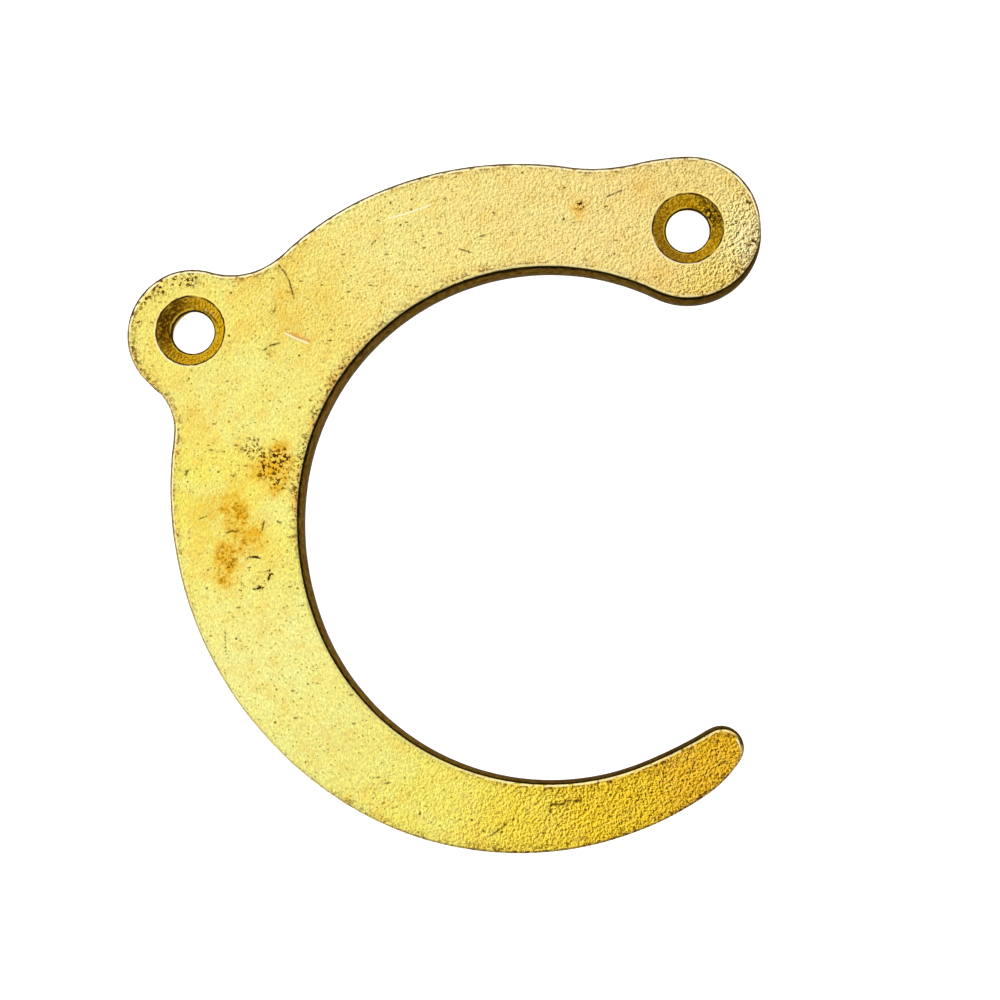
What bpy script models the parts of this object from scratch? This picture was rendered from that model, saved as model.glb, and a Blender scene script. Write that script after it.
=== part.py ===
"""Watch movement holder: one loose C-shaped brass plate with two screw lugs.

The movement lies in the round opening and the toe of the hook bears on its far
side. Two countersunk screws through the lugs fasten the plate to its fixture.
Units are metres. The back face lies on Z = 0, the countersunk front face looks
along +Z, and the hook opens towards +X. The origin is the middle of the back
face's bounding box.
"""

import math
from dataclasses import dataclass

import bmesh
import bpy
from mathutils import Vector

MM = 0.001

# The plate
PLATE_THICKNESS = 3.0 * MM
DRAFT_ANGLE = math.radians(4.4)       # the cast sides spread towards the back
EDGE_ROUNDING = 0.12 * MM

# The opening for the movement: a crown and a heel of one radius, and a flatter
# side between them
OPENING_RADIUS = 19.45 * MM
SIDE_FLATTER_BY = 2.95 * MM
SIDE_STARTS_AT = math.radians(174.1)
HEEL_STARTS_AT = math.radians(201.5)

# The outer edge, from the opening's edge outwards
SIDE_ARM_WIDTH = 9.68 * MM
SIDE_OFF_CENTRE = Vector((-0.42, 2.60)) * MM
BOTTOM_CLOSER_BY = 3.54 * MM
BOTTOM_STARTS_AT = math.radians(239.0)
TOP_ARM_WIDTH = 5.89 * MM
TOP_OFF_CENTRE = Vector((-3.53, 2.16)) * MM
TOP_FLATTER_BY = 2.84 * MM
TOP_FLATTENS_AT = math.radians(108.7)

# The toe that ends the hook, a little slimmer than the arm is there
TOE_AT = math.radians(-51.5)
TOE_SLIMMER_BY = 0.403 * MM
TOE_INNER_RADIUS = 40.0 * MM
TOE_OUTER_RADIUS = 9.5 * MM

# The screws, and the holes that take them
SCREW_DIAMETER = 3.0 * MM
SCREW_CLEARANCE = 0.35 * MM
SCREW_HEAD_DIAMETER = 5.5 * MM
SCREW_HEAD_CLEARANCE = 0.08 * MM
SCREW_HEAD_ANGLE = math.radians(90.0)
BORE_OPENS_BY = 0.45 * MM             # on its radius, from the cone to the back
HOLE_SIDES = 48

# The lugs, each with a rim of metal round its countersink. The right lug ends the
# opening's crown, and the left one stands out from the side arm
RIGHT_LUG_AT = math.radians(63.3)
RIGHT_LUG_RIM = 2.79 * MM
RIGHT_HOLE_OFF_CENTRE = Vector((-0.06, -0.15)) * MM
RIGHT_LUG_BACK_RADIUS = 19.2 * MM
RIGHT_LUG_BACK_AT = math.radians(90.6)
LEFT_LUG_AT = math.radians(152.8)
LEFT_LUG_REACH = 12.08 * MM
LEFT_LUG_RIM = 2.38 * MM
LEFT_HOLE_OFF_CENTRE = Vector((-0.06, 0.25)) * MM

# Hollow curves where the lugs run into the arm
RIGHT_LUG_TO_TOP = 13.9 * MM
LEFT_LUG_TO_TOP = 5.86 * MM
LEFT_LUG_TO_SIDE = 4.52 * MM

# How far a flat side may lie from the true curve, and how far a cutter runs on
CURVE_TOLERANCE = 0.008 * MM
CUTTER_OVERRUN = 1.0 * MM

BRASS_COLOUR = (0.78, 0.62, 0.20, 1.0)


@dataclass
class Arc:
    """A stretch of the outline; a hollow one has its centre outside the metal."""

    centre: Vector
    radius: float
    hollow: bool = False


def polar(angle):
    """The direction at an angle from +X."""
    return Vector((math.cos(angle), math.sin(angle)))


def run_on(base, radius, angle):
    """The arc of another radius that leaves the base arc smoothly at an angle."""
    return Arc(base.centre + (base.radius - radius) * polar(angle), radius, base.hollow)


def centre_distance(arc, radius, hollow):
    """How far apart the centres of two arcs lie that run into each other."""
    if arc.hollow == hollow:
        return abs(arc.radius - radius)
    return arc.radius + radius


def joining_arc(first, second, radius, hollow):
    """The arc that runs smoothly into both of its neighbours."""
    from_first = centre_distance(first, radius, hollow)
    from_second = centre_distance(second, radius, hollow)
    way = second.centre - first.centre
    along = (way.length_squared + from_first**2 - from_second**2) / (2 * way.length)
    aside = math.sqrt(from_first**2 - along**2)
    ahead = way.normalized()
    right = Vector((ahead.y, -ahead.x))
    return Arc(first.centre + along * ahead + aside * right, radius, hollow)


def toe_end(heel, bottom):
    """The round end of the toe, midway between the arm's two edges."""
    reach = heel.radius + bottom.radius
    way = bottom.centre - heel.centre
    ahead = polar(TOE_AT)
    distance = (reach**2 - way.length_squared) / (2 * (reach - ahead.dot(way)))
    half_the_arm = distance - heel.radius
    return Arc(heel.centre + distance * ahead, half_the_arm - TOE_SLIMMER_BY)


def countersink_diameter():
    """The countersink takes the screw's head with its clearance."""
    return SCREW_HEAD_DIAMETER + SCREW_HEAD_CLEARANCE


def opening_arcs():
    """The opening's edge, from the toe round to the right lug. The crown's centre
    is the point that the rest of the plate is set out from."""
    crown = Arc(Vector((0.0, 0.0)), OPENING_RADIUS, hollow=True)
    side = run_on(crown, OPENING_RADIUS + SIDE_FLATTER_BY, SIDE_STARTS_AT)
    heel = run_on(side, OPENING_RADIUS, HEEL_STARTS_AT)
    return heel, side, crown


def lugs():
    """The round ends of the right lug and of the left lug."""
    right_radius = countersink_diameter() / 2 + RIGHT_LUG_RIM
    left_radius = countersink_diameter() / 2 + LEFT_LUG_RIM
    right = Arc((OPENING_RADIUS + right_radius) * polar(RIGHT_LUG_AT), right_radius)
    left = Arc((OPENING_RADIUS + LEFT_LUG_REACH) * polar(LEFT_LUG_AT), left_radius)
    return right, left


def outline_arcs():
    """The front edge as arcs, anticlockwise from the right lug."""
    heel, inner_side, crown = opening_arcs()
    right_lug, left_lug = lugs()
    lug_back = run_on(right_lug, RIGHT_LUG_BACK_RADIUS, RIGHT_LUG_BACK_AT)

    top = Arc(TOP_OFF_CENTRE, OPENING_RADIUS + TOP_ARM_WIDTH)
    flat_top = run_on(top, top.radius + TOP_FLATTER_BY, TOP_FLATTENS_AT)
    outer_side = Arc(SIDE_OFF_CENTRE, OPENING_RADIUS + SIDE_ARM_WIDTH)
    bottom = run_on(outer_side, outer_side.radius - BOTTOM_CLOSER_BY, BOTTOM_STARTS_AT)
    toe = toe_end(heel, bottom)
    return [
        right_lug,
        lug_back,
        joining_arc(lug_back, flat_top, RIGHT_LUG_TO_TOP, hollow=True),
        flat_top,
        top,
        joining_arc(top, left_lug, LEFT_LUG_TO_TOP, hollow=True),
        left_lug,
        joining_arc(left_lug, outer_side, LEFT_LUG_TO_SIDE, hollow=True),
        outer_side,
        bottom,
        joining_arc(bottom, toe, TOE_OUTER_RADIUS, hollow=False),
        toe,
        joining_arc(toe, heel, TOE_INNER_RADIUS, hollow=True),
        heel,
        inner_side,
        crown,
    ]


def junction(first, second):
    """The point where one arc runs into the next."""
    ahead = (second.centre - first.centre).normalized()
    if first.hollow == second.hollow and first.radius < second.radius:
        ahead = -ahead
    return first.centre + first.radius * ahead


def outline_points():
    """Points round the front edge, closer together where it curves more."""
    arcs = outline_arcs()
    joints = [junction(arc, after) for arc, after in zip(arcs, arcs[1:] + arcs[:1])]
    points = []
    for arc, start, end in zip(arcs, joints[-1:] + joints[:-1], joints):
        start_angle = math.atan2(start.y - arc.centre.y, start.x - arc.centre.x)
        end_angle = math.atan2(end.y - arc.centre.y, end.x - arc.centre.x)
        turn = -1 if arc.hollow else 1
        sweep = (turn * (end_angle - start_angle)) % (2 * math.pi)
        largest_step = 2 * math.acos(1 - CURVE_TOLERANCE / arc.radius)
        count = max(1, math.ceil(sweep / largest_step))
        for step in range(count):
            angle = start_angle + turn * sweep * step / count
            points.append(arc.centre + arc.radius * polar(angle))
    return points


def middle_of(points):
    """The middle of the points' bounding box."""
    across = [point.x for point in points]
    along = [point.y for point in points]
    return Vector((min(across) + max(across), min(along) + max(along))) / 2


def put_in(collection, thing):
    """Keep an object in the given collection only."""
    for holder in list(thing.users_collection):
        holder.objects.unlink(thing)
    collection.objects.link(thing)


def flat_plate(points):
    """A straight-sided plate of the given outline, as a closed mesh."""
    curve = bpy.data.curves.new("plate_outline", "CURVE")
    curve.dimensions = "2D"
    curve.fill_mode = "BOTH"
    curve.extrude = PLATE_THICKNESS / 2
    spline = curve.splines.new("POLY")
    spline.points.add(len(points) - 1)
    for point, place in zip(spline.points, points):
        point.co = (place.x, place.y, 0.0, 1.0)
    spline.use_cyclic_u = True

    outline = bpy.data.objects.new("plate_outline", curve)
    bpy.context.scene.collection.objects.link(outline)
    outline.location.z = PLATE_THICKNESS / 2
    bpy.context.view_layer.update()
    evaluated = outline.evaluated_get(bpy.context.evaluated_depsgraph_get())
    mesh = bpy.data.meshes.new_from_object(evaluated)
    mesh.transform(outline.matrix_world)
    bpy.data.objects.remove(outline)
    return mesh


def spread_back(mesh):
    """Weld the plate's caps, and draw its back edge outwards by the draft."""
    spread = PLATE_THICKNESS * math.tan(DRAFT_ANGLE)
    shell = bmesh.new()
    shell.from_mesh(mesh)
    bmesh.ops.remove_doubles(shell, verts=shell.verts, dist=0.001 * MM)
    shell.normal_update()
    moves = []
    for corner in shell.verts:
        if corner.co.z > PLATE_THICKNESS / 2:
            continue
        outward = Vector((0.0, 0.0, 0.0))
        for face in corner.link_faces:
            if abs(face.normal.z) < 0.5:
                outward += face.normal
        moves.append((corner, outward.normalized() * spread))
    for corner, move in moves:
        corner.co += move
    shell.to_mesh(mesh)
    shell.free()


def screw_hole_cutter(place):
    """A cutter for one screw hole: a countersink in the front face, and a bore that
    opens towards the back."""
    hole_radius = (SCREW_DIAMETER + SCREW_CLEARANCE) / 2
    countersink_radius = countersink_diameter() / 2
    slope = math.tan(SCREW_HEAD_ANGLE / 2)
    cone_top = PLATE_THICKNESS + CUTTER_OVERRUN
    cone_foot = PLATE_THICKNESS - (countersink_radius - hole_radius) / slope
    opening = BORE_OPENS_BY * (cone_foot + CUTTER_OVERRUN) / cone_foot
    profile = [
        (0.0, cone_top),
        (countersink_radius + CUTTER_OVERRUN * slope, cone_top),
        (hole_radius, cone_foot),
        (hole_radius + opening, -CUTTER_OVERRUN),
        (0.0, -CUTTER_OVERRUN),
    ]
    mesh = bpy.data.meshes.new("screw_hole_profile")
    edges = [(index, index + 1) for index in range(len(profile) - 1)]
    mesh.from_pydata([(radius, 0.0, height) for radius, height in profile], edges, [])
    cutter = bpy.data.objects.new("screw_hole_cutter", mesh)
    cutter.location = (place.x, place.y, 0.0)
    cutter.hide_render = True
    cutter.display_type = "WIRE"

    turning = cutter.modifiers.new("turned", "SCREW")
    turning.steps = HOLE_SIDES
    turning.render_steps = HOLE_SIDES
    turning.use_merge_vertices = True
    turning.merge_threshold = 0.001 * MM
    return cutter


def brass():
    """Bright yellow cast brass."""
    material = bpy.data.materials.new("brass")
    material.use_nodes = True
    surface = material.node_tree.nodes["Principled BSDF"]
    surface.inputs["Base Color"].default_value = BRASS_COLOUR
    surface.inputs["Roughness"].default_value = 0.42
    surface.inputs["Metallic"].default_value = 1.0
    return material


def build():
    """Make the holder plate in an otherwise empty scene."""
    for thing in list(bpy.data.objects):
        bpy.data.objects.remove(thing)
    parts = bpy.data.collections.new("watch_movement_holder")
    cutters = bpy.data.collections.new("cutters")
    bpy.context.scene.collection.children.link(parts)
    bpy.context.scene.collection.children.link(cutters)

    points = outline_points()
    middle = middle_of(points)
    mesh = flat_plate([point - middle for point in points])
    spread_back(mesh)
    mesh.name = "holder_plate"
    mesh.materials.append(brass())
    plate = bpy.data.objects.new("holder_plate", mesh)
    put_in(parts, plate)

    right_lug, left_lug = lugs()
    holes = [right_lug.centre + RIGHT_HOLE_OFF_CENTRE,
             left_lug.centre + LEFT_HOLE_OFF_CENTRE]
    for hole in holes:
        cutter = screw_hole_cutter(hole - middle)
        put_in(cutters, cutter)
        cut = plate.modifiers.new("screw_hole", "BOOLEAN")
        cut.operation = "DIFFERENCE"
        cut.object = cutter

    rounding = plate.modifiers.new("rounded_edges", "BEVEL")
    rounding.width = EDGE_ROUNDING
    rounding.segments = 2
    rounding.use_clamp_overlap = False
    rounding.limit_method = "ANGLE"
    rounding.angle_limit = math.radians(70.0)
    mesh.shade_smooth()
    mesh.set_sharp_from_angle(angle=math.radians(30.0))


build()
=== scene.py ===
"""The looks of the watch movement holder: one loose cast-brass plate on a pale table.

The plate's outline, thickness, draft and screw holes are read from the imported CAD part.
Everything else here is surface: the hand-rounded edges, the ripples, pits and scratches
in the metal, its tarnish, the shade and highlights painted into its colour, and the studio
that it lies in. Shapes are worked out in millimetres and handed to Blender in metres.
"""

from __future__ import annotations

import logging
import math
from dataclasses import dataclass, field
from enum import Enum
from typing import Sequence, Union

import bpy
import numpy as np
from mathutils import Matrix, Vector, geometry, kdtree


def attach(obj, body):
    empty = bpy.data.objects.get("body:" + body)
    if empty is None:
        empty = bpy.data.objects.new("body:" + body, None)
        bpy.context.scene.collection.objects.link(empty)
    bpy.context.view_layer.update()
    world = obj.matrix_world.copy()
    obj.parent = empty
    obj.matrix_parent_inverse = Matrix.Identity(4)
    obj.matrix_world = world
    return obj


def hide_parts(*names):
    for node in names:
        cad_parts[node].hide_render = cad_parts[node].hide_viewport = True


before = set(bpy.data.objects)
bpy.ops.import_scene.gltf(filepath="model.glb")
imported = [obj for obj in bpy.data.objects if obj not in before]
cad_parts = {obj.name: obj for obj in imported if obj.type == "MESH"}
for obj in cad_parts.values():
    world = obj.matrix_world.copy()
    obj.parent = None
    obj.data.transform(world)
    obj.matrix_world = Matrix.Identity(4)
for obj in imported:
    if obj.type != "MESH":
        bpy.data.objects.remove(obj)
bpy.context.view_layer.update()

MM = 0.001
PLATE_NODE = "holder_plate"
BODY = "root"

Colour = tuple[float, float, float]
Point = tuple[float, float]
log = logging.getLogger("holder")

# Noises that several parts of the finish share: lump size in mm, finer layers, their strength.
BROAD = (1.3, 3.0, 0.6)
RAGGED = (0.45, 3.0, 0.65)
CRUMBS = (0.24, 2.0, 0.6)
MIDDLE = 0.5


def from_screen(*shares: int) -> Colour:
    """Turn a screen colour into Blender's linear one.

    Args:
        shares: The red, green and blue, from 0 to 255.

    Returns:
        The linear colour.
    """
    parts = (share / 255.0 for share in shares)
    return tuple(p / 12.92 if p <= 0.04045 else ((p + 0.055) / 1.055) ** 2.4 for p in parts)


def dimmed(colour: Colour, factor: float) -> Colour:
    """A plain colour made darker."""
    return tuple(part * factor for part in colour)


# --- Shader graph ---


class Socket:
    """One output of a shader node, with arithmetic that adds Math nodes."""

    def __init__(self, graph: "ShaderGraph", link: bpy.types.NodeSocket) -> None:
        """Wrap a node's output."""
        self.graph = graph
        self.link = link

    def _math(self, operation: str, *values: "Value") -> "Socket":
        """A Math node on the given values."""
        return self.graph.node("ShaderNodeMath", {"operation": operation}, dict(enumerate(values)))

    def __add__(self, other: "Value") -> "Socket":
        """The sum."""
        return self._math("ADD", self, other)

    def __sub__(self, other: "Value") -> "Socket":
        """The difference."""
        return self._math("SUBTRACT", self, other)

    def __rsub__(self, other: float) -> "Socket":
        """The difference, such as 1 - mask."""
        return self._math("SUBTRACT", other, self)

    def __mul__(self, other: "Value") -> "Socket":
        """The product."""
        return self._math("MULTIPLY", self, other)

    def __truediv__(self, other: "Value") -> "Socket":
        """The quotient."""
        return self._math("DIVIDE", self, other)

    __radd__ = __add__
    __rmul__ = __mul__

    def clamp(self) -> "Socket":
        """The value held between 0 and 1."""
        return self.graph.node("ShaderNodeClamp", {}, {"Value": self})

    def step(self, low: float, high: float) -> "Socket":
        """A smooth step from 0 to 1.

        Args:
            low: Where the step starts; it may lie above high, for a falling step.
            high: Where the step ends.

        Returns:
            The mask.
        """
        ends = (low, high, 0.0, 1.0) if low < high else (high, low, 1.0, 0.0)
        names = ("From Min", "From Max", "To Min", "To Max")
        inputs = {"Value": self, **dict(zip(names, ends))}
        return self.graph.node("ShaderNodeMapRange", {"interpolation_type": "SMOOTHSTEP"}, inputs)


Value = Union[Socket, float]
Paint = Union[Socket, Colour]


class ShaderGraph:
    """A node tree that is written as Python expressions."""

    def __init__(self, tree: bpy.types.NodeTree) -> None:
        """Start from an empty tree."""
        self.tree = tree
        tree.nodes.clear()

    def raw(self, kind: str, settings: dict, inputs: dict) -> bpy.types.Node:
        """Add a node.

        Args:
            kind: The node's Blender type.
            settings: Its own properties, set first.
            inputs: Values or links, by socket name or number.

        Returns:
            The Blender node.
        """
        node = self.tree.nodes.new(kind)
        for name, setting in settings.items():
            setattr(node, name, setting)
        for name, value in inputs.items():
            if isinstance(value, Socket):
                self.tree.links.new(value.link, node.inputs[name])
            else:
                node.inputs[name].default_value = value
        return node

    def node(self, kind: str, settings: dict, inputs: dict, output: str | int = 0) -> Socket:
        """Add a node and wrap one of its outputs.

        Args:
            kind: The node's Blender type.
            settings: Its own properties, set first.
            inputs: Values or links, by socket name or number.
            output: The output's name or number.

        Returns:
            The wrapped output.
        """
        return Socket(self, self.raw(kind, settings, inputs).outputs[output])

    def vector(
        self, operation: str, first: Socket, second: Sequence[float], output: int = 0
    ) -> Socket:
        """A Vector Math node on a link and a plain vector.

        Args:
            operation: The node's operation.
            first: The link.
            second: The plain vector.
            output: 0 for its vector, 1 for its number.

        Returns:
            The wrapped output.
        """
        inputs = {0: first, 1: tuple(second)}
        return self.node("ShaderNodeVectorMath", {"operation": operation}, inputs, output)

    def end(self, kind: str, shader: bpy.types.Node) -> None:
        """Close the tree with an output node."""
        self.tree.links.new(shader.outputs[0], self.raw(kind, {}, {}).inputs["Surface"])

    def attribute(self, name: str, output: str = "Fac") -> Socket:
        """A value that the mesh carries at its vertices."""
        return self.node("ShaderNodeAttribute", {"attribute_name": name}, {}, output)

    def millimetres(self) -> Socket:
        """The place on the object, in millimetres."""
        place = self.node("ShaderNodeTexCoord", {}, {}, "Object")
        return self.vector("MULTIPLY", place, (1 / MM,) * 3)

    def stretched(self, place: Socket, stretch: Sequence[float], turn: float = 0.0) -> Socket:
        """The place, turned about Z and then scaled along each axis.

        Args:
            place: The place in millimetres.
            stretch: The scale along X, Y and Z.
            turn: The turn about Z, in degrees.

        Returns:
            The new place.
        """
        turned = (0.0, 0.0, math.radians(turn))
        inputs = {"Vector": place, "Rotation": turned, "Scale": tuple(stretch)}
        return self.node("ShaderNodeMapping", {"vector_type": "POINT"}, inputs)

    def noise(self, place: Socket, size: float, detail: float, rough: float) -> Socket:
        """Noise about 0.5.

        Args:
            place: The place in millimetres.
            size: The lumps' size in millimetres.
            detail: How many finer layers there are.
            rough: How strong each finer layer is.

        Returns:
            The noise.
        """
        inputs = {"Vector": place, "Scale": 1.0 / size, "Detail": detail, "Roughness": rough}
        return self.node("ShaderNodeTexNoise", {"noise_dimensions": "3D"}, inputs, "Fac")

    def slopes(self, place: Socket, size: float, reach: float) -> Socket:
        """How a grain leans: above 0 on the side of each bump that faces the light.

        Args:
            place: The place in millimetres.
            size: The size of a bump in millimetres.
            reach: The distance over which the lean is measured.

        Returns:
            The lean.
        """
        recipe = (size, 1.5, 0.6)
        beside = self.vector("ADD", place, (-reach * 0.8, reach * 0.6, 0.0))
        return self.noise(place, *recipe) - self.noise(beside, *recipe)

    def dots(self, place: Socket, size: float, radius: float, share: Value) -> Socket:
        """Scattered dots of uneven size.

        Args:
            place: The place in millimetres.
            size: The spacing of the places where a dot may lie.
            radius: The largest dot's radius, in millimetres.
            share: The share of those places that have one.

        Returns:
            The dots' mask.
        """
        soft, least = 0.35, 0.0001
        cells = self.raw(
            "ShaderNodeTexVoronoi", {"feature": "F1"}, {"Vector": place, "Scale": 1.0 / size}
        )
        distance = Socket(self, cells.outputs["Distance"])
        drawn = self.node("ShaderNodeSeparateColor", {}, {0: Socket(self, cells.outputs["Color"])})
        reach = (share - drawn).step(0.0, soft) * (radius / size)
        return (1.0 - distance / (reach + least)).step(0.0, soft)

    def mix(self, mask: Value, low: Paint, high: Paint) -> Socket:
        """Blend two colours.

        Args:
            mask: 0 gives the first, 1 the second.
            low: The first colour.
            high: The second colour.

        Returns:
            The blend.
        """
        low, high = (c if isinstance(c, Socket) else (*c, 1.0) for c in (low, high))
        return self.node("ShaderNodeMix", {"data_type": "RGBA"}, {0: mask, 6: low, 7: high}, 2)

    def painted(self, colour: Socket, *coats: tuple[Value, Paint]) -> Socket:
        """Lay coats over a colour.

        Args:
            colour: The colour underneath.
            coats: Each coat's mask and colour, the lowest first.

        Returns:
            The colour on top.
        """
        for mask, coat in coats:
            colour = self.mix(mask, colour, coat)
        return colour

    def scaled(self, colour: Socket, factor: Value) -> Socket:
        """A colour made lighter or darker by a factor."""
        inputs = {0: colour, "Scale": factor}
        return self.node("ShaderNodeVectorMath", {"operation": "SCALE"}, inputs)


# --- Plain geometry in millimetres ---


def onward(points: np.ndarray) -> np.ndarray:
    """The point after each point of a closed loop."""
    return np.roll(points, -1, axis=0)


def way_round(loop: np.ndarray) -> float:
    """A closed loop's length."""
    return float(np.linalg.norm(onward(loop) - loop, axis=1).sum())


def area_inside(loop: np.ndarray) -> float:
    """The signed area inside a closed loop."""
    after = onward(loop)
    return float((loop[:, 0] * after[:, 1] - loop[:, 1] * after[:, 0]).sum() / 2)


def pointing(angles: np.ndarray) -> np.ndarray:
    """The directions of some angles in radians, one row each."""
    return np.stack([np.cos(angles), np.sin(angles)], axis=1)


def bearing(ways: np.ndarray) -> np.ndarray:
    """The angles of some directions, in degrees."""
    return np.degrees(np.arctan2(ways[:, 1], ways[:, 0]))


def apart(angles: np.ndarray, middle: float) -> np.ndarray:
    """How far angles lie from a middle one, from -180 to 180 degrees."""
    return (angles - middle + 180) % 360 - 180


def bell(gap: np.ndarray, width: float) -> np.ndarray:
    """A smooth bump, 1 in the middle and almost nothing two widths away."""
    return np.exp(-((gap / width) ** 2))


def flat_tree(points: np.ndarray) -> kdtree.KDTree:
    """A search tree over the X and Y of some points.

    Args:
        points: One row per point.

    Returns:
        The tree.
    """
    tree = kdtree.KDTree(len(points))
    for index, point in enumerate(points):
        tree.insert((point[0], point[1], 0.0), index)
    tree.balance()
    return tree


def gaps_to(tree: kdtree.KDTree, points: np.ndarray) -> np.ndarray:
    """How far each point lies from the nearest one in a tree."""
    return np.array([tree.find((point[0], point[1], 0.0))[2] for point in points])


@dataclass(frozen=True)
class Grain:
    """Smooth seeded noise from -1 to 1, worked out for whole arrays of places."""

    seed: int

    def _corner(self, whole: np.ndarray) -> np.ndarray:
        """A fixed random value for each lattice corner.

        Args:
            whole: One row of whole coordinates per corner.

        Returns:
            One value per corner.
        """
        word, stir = 0xFFFFFFFF, 1274126177
        mixed = whole.astype(np.int64) @ np.array([374761393, 668265263, 2147483647])
        mixed = (mixed + self.seed * stir) & word
        mixed = ((mixed ^ (mixed >> 13)) * stir) & word
        mixed = ((mixed ^ (mixed >> 16)) * 2246822519) & word
        return ((mixed >> 8) & 0xFFFF) / 32767.5 - 1.0

    def at(self, places: np.ndarray, size: float) -> np.ndarray:
        """The noise at some places.

        Args:
            places: One row of up to three coordinates per place.
            size: The size of the lumps, in the coordinates' unit.

        Returns:
            One value per place.
        """
        padded = np.zeros((len(places), 3))
        padded[:, : places.shape[1]] = places
        scaled = padded / size
        whole = np.floor(scaled)
        share = scaled - whole
        eased = share * share * (3 - 2 * share)
        total = np.zeros(len(places))
        for corner in np.ndindex(2, 2, 2):
            picked = np.array(corner)
            weight = np.prod(np.where(picked == 1, eased, 1 - eased), axis=1)
            total += weight * self._corner(whole + picked)
        return total


@dataclass
class Loop:
    """A closed smooth edge: points in order with the direction out of the metal."""

    points: np.ndarray
    outward: np.ndarray


@dataclass(frozen=True)
class Hole:
    """A countersunk screw hole."""

    centre: np.ndarray
    bore_radius: float
    back_radius: float
    rim_radius: float
    cone_foot: float


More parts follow.
